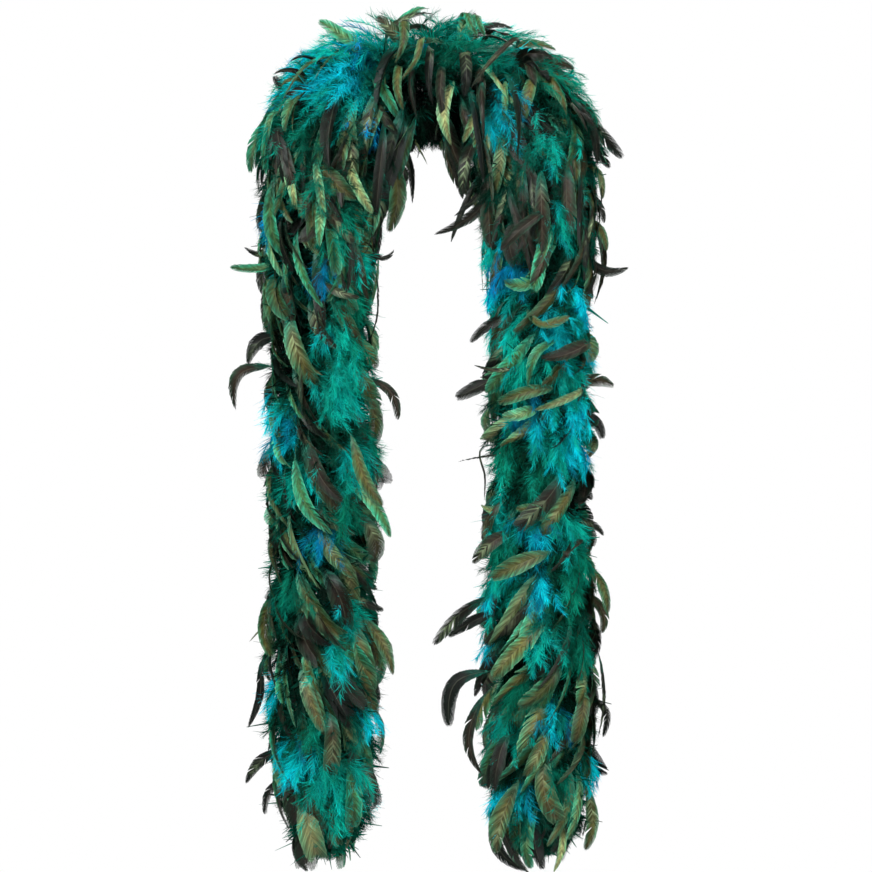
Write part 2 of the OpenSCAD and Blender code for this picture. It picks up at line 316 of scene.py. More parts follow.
class Soup:
    """Quads gathered for one mesh, with what its materials read."""

    def __init__(self):
        self.verts, self.faces, self.strand, self.dye, self.uv, self.slots = [], [], [], [], [], []
        self.count = 0

    def add(self, verts, faces, strand, dye, uv, slot):
        """Adds a block for n feathers: verts (n, v, 3) and one feather's faces."""
        n, v = verts.shape[:2]
        offset = self.count + np.arange(n)[:, None, None] * v
        self.faces.append((faces[None] + offset).reshape(-1, 4))
        self.verts.append(verts.reshape(-1, 3))
        self.strand.append(np.broadcast_to(strand, (n, v, 3)).reshape(-1, 3))
        self.dye.append(np.broadcast_to(dye[:, None, :], (n, v, 3)).reshape(-1, 3))
        self.uv.append(uv.reshape(-1, 2))
        self.slots.append(np.full(n * len(faces), slot))
        self.count += n * v

    def mesh(self, name):
        """The gathered quads as a mesh object."""
        verts = np.concatenate(self.verts).astype(np.float32)
        faces = np.concatenate(self.faces).astype(np.int32)
        mesh = bpy.data.meshes.new(name)
        mesh.vertices.add(len(verts))
        mesh.vertices.foreach_set("co", verts.ravel())
        mesh.loops.add(faces.size)
        mesh.loops.foreach_set("vertex_index", faces.ravel())
        mesh.polygons.add(len(faces))
        mesh.polygons.foreach_set("loop_start", np.arange(0, faces.size, 4, dtype=np.int32))
        mesh.polygons.foreach_set("material_index", np.concatenate(self.slots).astype(np.int32))
        mesh.update(calc_edges=True)
        mesh.shade_smooth()
        uv = np.concatenate(self.uv).astype(np.float32)[faces.ravel()]
        mesh.uv_layers.new(name="OFBake").data.foreach_set("uv", uv.ravel())
        for label, rows in (("strand", self.strand), ("dye", self.dye)):
            attribute = mesh.attributes.new(label, "FLOAT_VECTOR", "POINT")
            attribute.data.foreach_set("vector", np.concatenate(rows).astype(np.float32).ravel())
        return add_object(name, mesh)


def cells(count, across, along, band, grid):
    """Bake coordinates: a cell for each feather, with across and along from 0 to 1 inside its band."""
    column = (np.arange(count) % grid) / grid
    row = (np.arange(count) // grid % grid) / grid
    low, high = band
    shape = (count,) + (1,) * (across.ndim - 1)
    u = column.reshape(shape) + (low + (high - low) * across) / grid
    v = row.reshape(shape) + (0.03 + 0.94 * np.clip(along, 0, 1)) / grid
    return np.stack([u, v], -1)


def add_strips(soup, line, dye, rng, strips, strand_along, cell_along, side_reach, look):
    """Adds strips whose arrays run (feather, side, strip, ring, edge), with what their material reads."""
    along, across, high = strips
    slot, band, grid = look
    n, sides, count, rings = along.shape[:4]

    def full(v):
        return np.broadcast_to(v, along.shape)

    verts = place(line, along, full(across), high).reshape(n, -1, 3)
    barb = rng.uniform(0, 1, (n, sides, count, 1, 1))
    strand = np.stack([full(strand_along), full(side_reach), full(barb)], -1).reshape(n, -1, 3)
    uv = cells(n, 0.5 + 0.5 * full(side_reach), full(cell_along), band, grid)
    soup.add(verts, ribbon_faces(sides * count, rings), strand, dye, uv, slot)


BOTH_SIDES = np.array([-1.0, 1.0]).reshape(1, 2, 1, 1)
BOTH_EDGES = np.array([-1.0, 1.0]).reshape(1, 1, 1, 1, 2)


def down_barbs(soup, line, f, dye, rng, span, per_side, rings, reach, width, loose, look):
    """Soft barbs on both sides of a shaft, over its span, that taper to a point."""
    n = len(f["d"])
    low, high = span
    shape = (n, 2, per_side)
    spread = (high - low) / per_side
    base = np.linspace(low, high, per_side)[None, None, :] + rng.uniform(-0.5, 0.5, shape) * spread
    along01 = (base - low) / (high - low)
    angle = np.radians(56 - 36 * along01) + rng.normal(0, 0.13, shape)
    length = reach[:, None, None] * (0.55 + 0.45 * np.sin(math.pi * np.clip(along01, 0, 1) ** 0.8))
    length = length * rng.uniform(0.7, 1.2, shape)
    lift = rng.normal(0, loose, shape)
    sag = rng.normal(0.0, loose, shape) - 0.12
    bend = rng.normal(-0.30, 0.22, shape)
    out = np.linspace(0, 1, rings).reshape(1, 1, 1, rings)
    turned = angle[..., None] + bend[..., None] * out
    across = BOTH_SIDES * length[..., None] * out * np.sin(turned)
    forward = length[..., None] * out * np.cos(turned)
    rise = length[..., None] * (lift[..., None] * out + sag[..., None] * out * out)
    half = width / 2 * (1 - 0.86 * out ** 1.3) * rng.uniform(0.7, 1.3, shape)[..., None]
    half = BOTH_EDGES * half[..., None]
    cant = rng.uniform(-0.9, 0.9, shape)[..., None, None]
    size = f["length"].reshape(n, 1, 1, 1, 1)
    along = base[..., None, None] + (forward[..., None] + half * np.cos(cant)) / size
    rise = rise[..., None] + half * np.sin(cant)
    add_strips(soup, line, dye, rng, (along, across[..., None], rise), base[..., None, None],
               along01[..., None, None] + BOTH_EDGES * 0.4 / per_side, (BOTH_SIDES * out)[..., None], look)


# Half widths of a blade from foot to tip: (places along it, share of the full half width).
ROUND_TIP = ([0, 0.12, 0.3, 0.5, 0.66, 0.8, 0.9, 1], [0.10, 0.52, 0.86, 1.0, 0.98, 0.82, 0.54, 0.08])
SHARP_TIP = ([0, 0.12, 0.3, 0.45, 0.7, 0.9, 1], [0.12, 0.62, 0.95, 1.0, 0.62, 0.28, 0.05])
VANE_RINGS = 4
VANE_END = 0.985         # share of the shaft's length at which the last barb starts
LAP = 0.00012            # a strip's edges stand this much over and under its middle


def vane(soup, line, f, dye, rng, start, per_side, look):
    """The firm part of a blade: strips of barbs that tile both sides of the shaft, with a few splits."""
    n = len(f["d"])
    shape = (n, 2, per_side)
    base01 = (np.arange(per_side) + 0.5) / per_side
    base = start + (VANE_END - start) * base01[None, None, :] + np.zeros(shape)
    lay = np.radians(50 - 24 * base01 ** 2)[None, None, :]
    angle = lay + np.zeros(shape)
    for _ in range(2):
        split = rng.uniform(0.1, 1.8, (n, 2, 1))
        gap = rng.uniform(0.0, 0.12, (n, 2, 1))
        angle = angle + gap * np.exp(-((base01 - split) / 0.06) ** 2) * np.sign(split - base01)
    sharp = f["sharp"].reshape(n, 1, 1)
    half_w = (1 - sharp) * np.interp(base01, *ROUND_TIP) + sharp * np.interp(base01, *SHARP_TIP)
    reach = f["width"].reshape(n, 1, 1) / 2 * half_w * rng.uniform(0.96, 1.03, shape)
    reach = reach * np.where(BOTH_SIDES[..., 0] < 0, f["uneven"].reshape(n, 1, 1), 1.0)
    length = reach / np.sin(lay)
    out = np.linspace(0, 1, VANE_RINGS).reshape(1, 1, 1, VANE_RINGS)
    across = BOTH_SIDES * length[..., None] * np.sin(angle)[..., None] * (out - 0.10 * out * out)
    forward = length[..., None] * np.cos(angle)[..., None] * (out + 0.16 * out * out)
    size = f["length"].reshape(n, 1, 1, 1, 1)
    half = BOTH_EDGES * ((VANE_END - start) / per_side / 2 * (1.12 - 0.14 * out ** 3)[..., None])
    along = base[..., None, None] + forward[..., None] / size + half
    rise = -f["cup"].reshape(n, 1, 1, 1) * across ** 2 / (f["width"].reshape(n, 1, 1, 1) / 2)
    rise = rise + rng.normal(0, 0.25 * MM, shape)[..., None] * out
    rise = rise[..., None] + BOTH_EDGES * LAP
    root_along = base[..., None, None] + half
    add_strips(soup, line, dye, rng, (along, across[..., None], rise), root_along, root_along,
               (BOTH_SIDES * out)[..., None], look)


RACHIS_RINGS = 13


def rachis(soup, line, f, dye, thick, look):
    """The shaft itself, a three-sided quill that tapers to nothing."""
    slot, band, grid = look
    n = len(f["d"])
    s = np.linspace(0, 0.99, RACHIS_RINGS).reshape(1, RACHIS_RINGS, 1)
    corner = np.radians([90, 210, 330]).reshape(1, 1, 3)
    radius = thick / 2 * (1 - 0.88 * s) * np.ones((n, 1, 1))
    along = s + np.zeros((n, 1, 3))
    across, high = radius * np.cos(corner), radius * np.sin(corner)
    verts = place(line, along, across, high).reshape(n, -1, 3)
    ring = np.arange(RACHIS_RINGS - 1)[:, None] * 3
    j = np.arange(3)[None, :]
    a, b = (ring + j).ravel(), (ring + (j + 1) % 3).ravel()
    faces = np.stack([a, b, b + 3, a + 3], 1)
    strand = np.stack([along, np.zeros_like(along), np.full_like(along, 0.5)], -1).reshape(n, -1, 3)
    uv = cells(n, 0.5 + 0.04 * np.cos(corner) + np.zeros_like(along), along, band, grid)
    soup.add(verts, faces, strand, dye, uv, slot)


# ------------------------------------------------------------------ materials

def new_material(name):
    """A material with an empty node tree, and that tree."""
    material = bpy.data.materials.new(name)
    material.use_nodes = True
    material.node_tree.nodes.clear()
    return material, material.node_tree


def feed(tree, socket, value):
    """Gives an input socket a link or a value."""
    if isinstance(value, bpy.types.NodeSocket):
        tree.links.new(value, socket)
    else:
        socket.default_value = value


def node(tree, kind, **values):
    """A new node; a key names an input socket, and one that starts with _ a property."""
    new = tree.nodes.new(kind)
    for key, value in values.items():
        if key.startswith("_"):
            setattr(new, key[1:], value)
        else:
            feed(tree, new.inputs[key], value)
    return new


def show(tree, shader):
    """The shader becomes the material's surface."""
    node(tree, "ShaderNodeOutputMaterial", Surface=shader.outputs[0])


def maths(tree, operation, *values, clamp=False):
    """What a maths node makes of the values."""
    new = node(tree, "ShaderNodeMath", _operation=operation, _use_clamp=clamp)
    for socket, value in zip(new.inputs, values):
        feed(tree, socket, value)
    return new.outputs[0]


def times(tree, a, b):
    """a * b."""
    return maths(tree, "MULTIPLY", a, b)


def scaled(tree, value, gain, add, clamp=False):
    """value * gain + add."""
    return maths(tree, "MULTIPLY_ADD", value, gain, add, clamp=clamp)


def ramp(tree, value, stops):
    """A colour ramp; its stops are (place, colour)."""
    new = tree.nodes.new("ShaderNodeValToRGB")
    elements = new.color_ramp.elements
    while len(elements) < len(stops):
        elements.new(0.5)
    for element, (position, colour) in zip(elements, stops):
        element.position = position
        element.color = colour + (1.0,)
    feed(tree, new.inputs[0], value)
    return new.outputs[0]


def mix(tree, factor, a, b, kind="MIX"):
    """Colour a mixed with colour b."""
    new = node(tree, "ShaderNodeMix", _data_type="RGBA", _blend_type=kind)
    for number, value in ((0, factor), (6, a), (7, b)):
        feed(tree, new.inputs[number], value + (1.0,) if isinstance(value, tuple) else value)
    return new.outputs[2]


def darkened(tree, colour, level):
    """The colour times a grey level."""
    grey = node(tree, "ShaderNodeCombineColor", Red=level, Green=level, Blue=level).outputs[0]
    return mix(tree, 1.0, colour, grey, "MULTIPLY")


def feather_inputs(tree):
    """What the meshes say: along, across, the barb's own number, tint, the feather's own number, shade."""
    read = []
    for name in ("strand", "dye"):
        vector = node(tree, "ShaderNodeAttribute", _attribute_name=name).outputs["Vector"]
        read += list(node(tree, "ShaderNodeSeparateXYZ", Vector=vector).outputs)
    return read


def soft_skin(tree, base, rough, gloss, sheen, see_through, **more):
    """Cloth-like skin that lets part of the light through."""
    skin = node(tree, "ShaderNodeBsdfPrincipled", **more, **{
        "Base Color": base, "Roughness": rough, "Specular IOR Level": gloss,
        "Sheen Weight": sheen, "Sheen Roughness": 0.45})
    through = node(tree, "ShaderNodeBsdfTranslucent", Color=base)
    both = node(tree, "ShaderNodeMixShader", Fac=see_through)
    for number, shader in ((1, skin), (2, through)):
        feed(tree, both.inputs[number], shader.outputs[0])
    show(tree, both)


DOWN_DYES = [
    (BLACK, (0.003, 0.008, 0.005)),
    (PINE, (0.004, 0.085, 0.045)),
    (TEAL, (0.003, 0.270, 0.170)),
    (TURQUOISE, (0.003, 0.500, 0.400)),
    (CYAN, (0.002, 0.690, 0.820)),
    (DEEP, (0.002, 0.230, 0.360)),
    (BLUE, (0.002, 0.360, 0.700)),
]
# A blade's colour at its shaft and at its edges: black, brown, olive, green and cream.
BLADE_CENTRES = [
    (0.00, (0.0020, 0.0030, 0.0022)),
    (0.22, (0.017, 0.010, 0.006)),
    (0.50, (0.062, 0.056, 0.014)),
    (0.78, (0.022, 0.085, 0.026)),
    (1.00, (0.185, 0.190, 0.075)),
]
BLADE_EDGES = [
    (0.00, (0.002, 0.008, 0.005)),
    (0.22, (0.003, 0.030, 0.016)),
    (0.50, (0.005, 0.125, 0.062)),
    (0.78, (0.002, 0.280, 0.170)),
    (1.00, (0.050, 0.250, 0.120)),
]
FOOT_DYE, DARK_TIP = (0.003, 0.13, 0.09), (0.004, 0.008, 0.006)
# The first colour is a painted highlight, the pale sheen streak laid on some blades; the rim and the quill
# are the blades' own colours.
PAINTED_SHEEN, PALE_RIM, QUILL = (0.26, 0.36, 0.19), (0.22, 0.34, 0.20), (0.12, 0.14, 0.09)


def down_material():
    """Soft dyed down: pine to turquoise and blue, deeper at the shaft and paler at the barbs' tips."""
    material, tree = new_material("down")
    _, across, barb, tint, _, shade = feather_inputs(tree)
    deep = scaled(tree, maths(tree, "ABSOLUTE", across), 0.60, 0.55)
    level = times(tree, times(tree, scaled(tree, barb, 0.3, 0.85), deep), shade)
    base = darkened(tree, ramp(tree, tint, DOWN_DYES), level)
    soft_skin(tree, base, rough=0.85, gloss=0.05, sheen=0.06, see_through=0.5)
    return material


def blade_material():
    """Firm cock feathers: black, brown, olive or dyed green, with a dyed edge, striped by their barbs."""
    material, tree = new_material("blade")
    along, across, barb, tint, own, shade = feather_inputs(tree)
    reach = maths(tree, "ABSOLUTE", across)

    def lot(salt):
        """Another number from 0 to 1 for each feather."""
        return maths(tree, "FRACT", times(tree, own, salt))

    # Streaks run along the barbs, and the edge's dye reaches in by them.
    streak_at = node(tree, "ShaderNodeCombineXYZ", X=times(tree, along, 44.0),
                     Y=times(tree, across, 1.6), Z=times(tree, own, 97.0))
    streak = node(tree, "ShaderNodeTexNoise", Vector=streak_at.outputs[0], Scale=1.0, Detail=3.0,
                  Roughness=0.6).outputs[0]
    to_edge = scaled(tree, streak, 1.2, maths(tree, "ADD", reach, -0.85), clamp=True)
    colour = mix(tree, to_edge, ramp(tree, tint, BLADE_CENTRES), ramp(tree, tint, BLADE_EDGES))
    # The foot is dyed and the tip is dark.
    foot = maths(tree, "SUBTRACT", 1.0, scaled(tree, along, 5.0, -1.9, clamp=True))
    colour = mix(tree, times(tree, foot, 0.8), colour, FOOT_DYE)
    tip = scaled(tree, along, 3.0, -2.3, clamp=True)
    colour = mix(tree, times(tree, tip, 0.7), colour, DARK_TIP)
    # Some blades have a painted highlight, a pale sheen streak beside the shaft, at a place of their own.
    off = times(tree, maths(tree, "SUBTRACT", along, scaled(tree, lot(7.0), 0.30, 0.52)), 8.0)
    painted_sheen = maths(tree, "SUBTRACT", 1.0, times(tree, off, off), clamp=True)
    painted_sheen = times(tree, painted_sheen, scaled(tree, reach, -0.9, 1.0, clamp=True))
    some = scaled(tree, lot(13.0), 2.2, -1.2, clamp=True)
    painted_sheen = times(tree, times(tree, painted_sheen, some), maths(tree, "POWER", barb, 1.5))
    colour = mix(tree, times(tree, painted_sheen, 0.7), colour, PAINTED_SHEEN)
    # A thin rim is paler, more so on the paler breeds.
    rim = times(tree, scaled(tree, reach, 8.0, -7.0, clamp=True), tint)
    colour = mix(tree, times(tree, rim, 0.55), colour, PALE_RIM)
    level = times(tree, times(tree, scaled(tree, barb, 0.8, 0.58), shade), scaled(tree, streak, 2.6, -0.3))
    base = darkened(tree, colour, level)
    quill = scaled(tree, reach, -22.0, 1.4, clamp=True)
    base = mix(tree, times(tree, quill, 0.3), base, QUILL)
    barbs = maths(tree, "SUBTRACT", along, times(tree, reach, 0.1))
    lines = maths(tree, "SINE", times(tree, barbs, 560.0))
    bump = node(tree, "ShaderNodeBump", Strength=0.4, Distance=0.0003, Height=lines)
    soft_skin(tree, base, rough=scaled(tree, streak, 0.3, 0.24), gloss=0.2, sheen=0.0, see_through=0.08,
              Normal=bump.outputs[0])
    return material


def woven_material(name, dark, light, scale):
    """Cord, tape and thread: fine diagonal strands in two shades."""
    material, tree = new_material(name)
    spot = tree.nodes.new("ShaderNodeTexCoord").outputs["Object"]
    wave = node(tree, "ShaderNodeTexWave", Vector=spot, Scale=scale, Distortion=1.5, Detail=2.0,
                _bands_direction="DIAGONAL").outputs[1]
    bump = node(tree, "ShaderNodeBump", Strength=0.5, Distance=0.0004, Height=wave)
    show(tree, node(tree, "ShaderNodeBsdfPrincipled", **{
        "Base Color": mix(tree, wave, dark, light), "Roughness": 0.8, "Normal": bump.outputs[0],
        "Sheen Weight": 0.3}))
    return material


# ------------------------------------------------------------------ where the feathers grow

GOLDEN_ANGLE = math.radians(137.508)
TOP_HALF = 0.11          # this far from its top the cord still runs almost level
TUFT_OUT = 0.05          # how far from the cord a tuft comes out
SEEN_AT = 0.75           # share of a plume's length at which its place is taken
BLADE_SEEN_AT = 0.8      # and of a blade's
PLUMES_PER_METRE = 620   # of a tuft's radius
END_PLUMES = 90          # on each end
# Counts along the whole cord, and how many more on the crown, whose outside is longer.
COUNTS = {"under": (2100, 500), "outer": (1650, 620), "blades": (1330, 560)}
# Ranges for each kind of feather.  Length, bed (how far from the cord it lies over) and width are in
# metres.  The others are slopes: out from the boa, lean of the rising part, sweep round the leg, and
# hook and curl of the tip, outward and sideways.  Tall is how much longer the ones on top are.
GROWTH = {
    "under": dict(length=(0.042, 0.056), bed=(0.026, 0.040), width=(0.017, 0.023), out=(0.4, 1.4),
                  lean=(-0.2, 0.5), sweep=(-0.5, 0.5), hook=(-0.4, 0.2), curl=(-0.5, 0.5), tall=0.2),
    "ends": dict(length=(0.034, 0.052), bed=(0.008, 0.024), width=(0.016, 0.024), out=(-0.6, 0.5),
                 lean=(0.6, 2.4), sweep=(-0.4, 0.4), hook=(-0.7, 0.2), curl=(-0.6, 0.6), tall=0.05),
    "outer": dict(length=(0.058, 0.082), bed=(0.040, 0.054), width=(0.014, 0.021), out=(0.2, 1.3),
                  lean=(-0.15, 0.5), sweep=(-0.45, 0.45), hook=(-0.5, 0.2), curl=(-0.6, 0.6), tall=0.25),
    "tufts": dict(length=(0.066, 0.084), bed=(0.050, 0.060), width=(0.013, 0.019), out=(0.2, 0.9),
                  lean=(-0.1, 0.3), sweep=(-0.4, 0.4), hook=(-0.6, -0.1), curl=(-0.6, 0.6), tall=0.25),
    "blades": dict(length=(0.108, 0.150), bed=(0.047, 0.061), width=(0.019, 0.032), out=(-0.1, 0.35),
                   lean=(0.0, 0.45), sweep=(-0.35, 0.35), hook=(-0.5, 0.05), curl=(-0.8, 0.8), tall=0.05),
}


def golden(count, start, end, rng, jitter):
    """Roots spread evenly along the cord from start to end and turned by the golden angle."""
    i = np.arange(count)
    d = start + (end - start) * (i + rng.uniform(0, 1, count)) / count
    turn = i * GOLDEN_ANGLE + rng.normal(0, jitter, count)
    return d, np.mod(turn, 2 * math.pi)


def roots(kind, rng, jitter):
    """Golden roots along the whole cord, and some more on the crown."""
    count, crown_extra = COUNTS[kind]
    d, turn = golden(count, -CORD_LEN, CORD_LEN, rng, jitter)
    more_d, more_turn = golden(crown_extra, -CROWN_LEN, CROWN_LEN, rng, jitter)
    return np.concatenate([d, more_d]), np.concatenate([turn, more_turn])


def grown(kind, d, turn, rng):
    """Feathers that rise from the cord to their bed and lie over there."""
    n = len(d)
    growth = GROWTH[kind]
    crown = 1 - smooth((np.abs(d) - 0.75 * CROWN_LEN) / (0.4 * CROWN_LEN))
    f = {"d": d, "turn": turn, "root": rng.uniform(3, 7, n) * MM, "gravity": 0.25 + 0.25 * crown,
         "roll": rng.normal(0, 0.25, n), "twist": rng.normal(0, 0.35, n),
         "phase": rng.uniform(0, 2 * math.pi, n), "rate": rng.uniform(3, 8, n)}
    for key in ("length", "width", "out", "lean", "sweep", "hook", "curl"):
        f[key] = rng.uniform(*growth[key], n)
    top = 1 - smooth(np.abs(d) / TOP_HALF)
    up = smooth(np.cos(turn) + 0.3)
    f["gravity"] += 0.15 * top - 0.40 * top * up
    f["sweep"] += rng.normal(0, 0.8, n) * top * up
    f["way"] = (1 - top) + top * rng.uniform(-1.3, 1.3, n)
    f["length"] = f["length"] * (1 + (0.34 + growth["tall"] * up) * crown)
    bed_at = rng.uniform(*growth["bed"], n) * (1 + (0.36 + 0.34 * up) * crown)
    rise = (bed_at - f["root"]) / (0.6 * f["length"]) * np.sqrt(1 + f["lean"] ** 2)
    f["knee"] = np.clip(rise, 0.25, 1.15)
    return f


def take(f, keep):
    """The feathers that keep marks."""
    return {key: value[keep] for key, value in f.items()}


def joined(*groups):
    """Several groups of feathers as one."""
    return {key: np.concatenate([g[key] for g in groups]) for key in groups[0]}


def nearness(x, z, spots):
    """How close each point is to its nearest spot, from 0 to 1, and that spot's number."""
    rows = np.array([spot[:3] for spot in spots]) / PER_METRE
    far = np.hypot(x[:, None] - rows[:, 0], z[:, None] - rows[:, 1]) / rows[:, 2]
    best = far.argmin(1)
    return np.exp(-far[np.arange(len(x)), best] ** 2), best


def lies_at(f, share):
    """Where each feather lies at a share of its length, seen from its own face of the boa.

    The back face repeats the other leg.
    """
    points = shafts(f)[0]
    at = points[:, int(share / OVERRUN * (STATIONS - 1))]
    root = path(f["d"])[0]
    front = at[:, 1] < root[:, 1] + 0.01
    return np.where(front, at[:, 0], -at[:, 0]), at[:, 2]


def spot_roots(x, z, count, rng, spread, lift):
    """Roots whose feathers come out about (x, z) on the front face, when they hang lift below them."""
    d = np.linspace(-CORD_LEN, CORD_LEN, 700)
    turn = np.radians(np.linspace(180, 360, 37))
    d, turn = (v.ravel() for v in np.meshgrid(d, turn))
    cord = path(d)[0]
    at = cord + TUFT_OUT * radial_way(d, turn)[0]
    far = np.hypot(at[:, 0] - x, at[:, 2] - (z + lift)) + 0.4 * np.maximum(at[:, 1] - cord[:, 1], 0)
    best = far.argmin()
    return d[best] + rng.normal(0, spread, count), turn[best] + rng.normal(0, spread / TUFT_OUT, count)


def dyed(f, tint, shade, bright, dark, rng):
    """The down takes the dye of the tuft it shows in, and is painted black and darker in the hollows, as
    painted shadow.
    """
    x, z = lies_at(f, SEEN_AT)
    near, which = nearness(x, z, TUFTS)
    dyes = np.array([tuft[3] for tuft in TUFTS])
    tint = np.clip(tint * (1 - near) + near * dyes[which], 0, 1)
    shade = np.maximum(shade * (1 - near) + near * bright, 0.12)
    # Painted shadow: near the hollow spots the tint goes to black and the shade drops by dark.
    near = nearness(x, z, PAINTED_SHADOWS)[0]
    f["tint"] = tint * (1 - near)
    f["shade"] = shade * (1 - dark * near)
    f["own"] = rng.uniform(0, 1, len(x))
    return f


def under_down(rng):
    """The short down by the cord, dyed pine to teal and darkened as painted shade deep among the feathers.
    """
    f = grown("under", *roots("under", rng, 0.2), rng)
    n = len(f["d"])
    f = dyed(f, rng.uniform(PINE, TEAL, n), rng.uniform(0.15, 0.45, n), rng.uniform(0.5, 0.9, n), 0.8, rng)
    return trimmed(f, rng.uniform(0.60, 0.78, n))


def end_down(rng):
    """The down tied in last at each end, which hangs past the cord's knot and hides it."""
    groups = []
    for side in SIDES.values():
        d, turn = golden(END_PLUMES, side * (CORD_LEN - 30 * MM), side * CORD_LEN, rng, 0.3)
        f = grown("ends", d, turn, rng)
        for key, low, high in (("tint", PINE, TEAL), ("shade", 0.3, 0.8), ("own", 0, 1)):
            f[key] = rng.uniform(low, high, END_PLUMES)
        groups.append(trimmed(f, rng.uniform(0.6, 0.9, END_PLUMES), FLOOR_OF_TIPS["ends"]))
    return joined(*groups)


def outer_down(rng):
    """The long down that makes the fluff, in uneven patches of dye."""
    f = grown("outer", *roots("outer", rng, 0.25), rng)
    n = len(f["d"])
    f["sweep"] += 0.6 * leg_height(SWEEP, f["d"], path(f["d"])[0][:, 2])
    x, z = lies_at(f, SEEN_AT)
    patchy = 0.5 + 0.5 * np.sin(41 * x + 23 * z + 2.0) * np.sin(29 * z - 17 * x)
    tint = 0.18 + 0.28 * patchy + rng.normal(0, 0.07, n)
    shade = 0.30 + 0.32 * patchy + rng.normal(0, 0.1, n)
    f = dyed(f, tint, shade, rng.uniform(0.9, 1.25, n), 0.65, rng)
    return trimmed(f, rng.uniform(0.84, 1.0, n))


def tuft_down(rng):
    """The bright tufts, brushed out between the blades."""
    groups = []
    for *spot, dye in TUFTS:
        x, z, radius = (v / PER_METRE for v in spot)
        n = int(round(radius * PLUMES_PER_METRE))
        f = grown("tufts", *spot_roots(x, z, n, rng, 0.55 * radius, 0.022), rng)
        f["tint"] = np.clip(dye + rng.normal(0, 0.05, n), 0, 1)
        f["shade"] = rng.uniform(1.05, 1.6, n)
        f["own"] = rng.uniform(0, 1, n)
        groups.append(trimmed(f, rng.uniform(0.9, 1.04, n)))
    return joined(*groups)


# Breeds of blade, as places on the blades' colour ramps.
BREEDS = {"black": 0.04, "brown": 0.22, "olive": 0.50, "green": 0.78, "cream": 1.0}


def breeds(x, z, rng):
    """A breed for each blade: mostly black inside the arch, as painted shade, more olive and green down the
    left leg.
    """
    n = len(x)
    share = np.tile([0.24, 0.24, 0.27, 0.19, 0.06], (n, 1))
    share[z > -0.06] = [0.36, 0.22, 0.25, 0.13, 0.04]
    # Painted shade: inside the arch, where the shade falls deepest, most blades are made black.
    inside = (np.abs(x) < 0.05) & (z > -0.12) & (z < 0.06)
    share[inside] = [0.66, 0.20, 0.07, 0.04, 0.03]
    low_left = (x < 0) & (z < -0.42)
    share[low_left] = [0.14, 0.20, 0.36, 0.25, 0.05]
    pick = (rng.uniform(0, 1, (n, 1)) > np.cumsum(share, 1)).sum(1).clip(0, len(BREEDS) - 1)
    return np.clip(np.array(list(BREEDS.values()))[pick] + rng.normal(0, 0.05, n), 0, 1)


def lying_blades(rng):
    """The firm blades that lie over the down, fewer where a tuft shows."""
    f = grown("blades", *roots("blades", rng, 0.4), rng)
    d, n = f["d"], len(f["d"])
    f["sweep"] += leg_height(SWEEP, d, path(d)[0][:, 2])
    f["hook"] -= 0.75 * np.abs(f["sweep"])
    f["sharp"] = rng.uniform(0, 1, n) ** 1.4
    f["width"] *= (1.05 - 0.5 * f["sharp"]) * (1 - 0.22 * (np.abs(d) < CROWN_LEN))
    for key, low, high in (("uneven", 0.7, 1.0), ("cup", 0.05, 0.6), ("own", 0, 1)):
        f[key] = rng.uniform(low, high, n)
    stands_out = rng.uniform(0.90, 1.06, n) + 0.16 * (rng.uniform(0, 1, n) > 0.95)
    f = trimmed(f, stands_out, FLOOR_OF_TIPS["blades"])
    f["width"] *= np.clip(f["length"] / 0.1, 0.7, 1.0)
    x, z = lies_at(f, BLADE_SEEN_AT)
    f["tint"] = breeds(x, z, rng)
    f["shade"] = rng.uniform(0.5, 1.7, n)
    near = nearness(x, z, TUFTS)[0]
    side = np.where(x < 0, -1.0, 1.0)
    keep = rng.uniform(0, 1, n) < leg_height(COVER, side, z) * np.maximum(1 - 1.25 * near, 0)
    return take(f, keep)


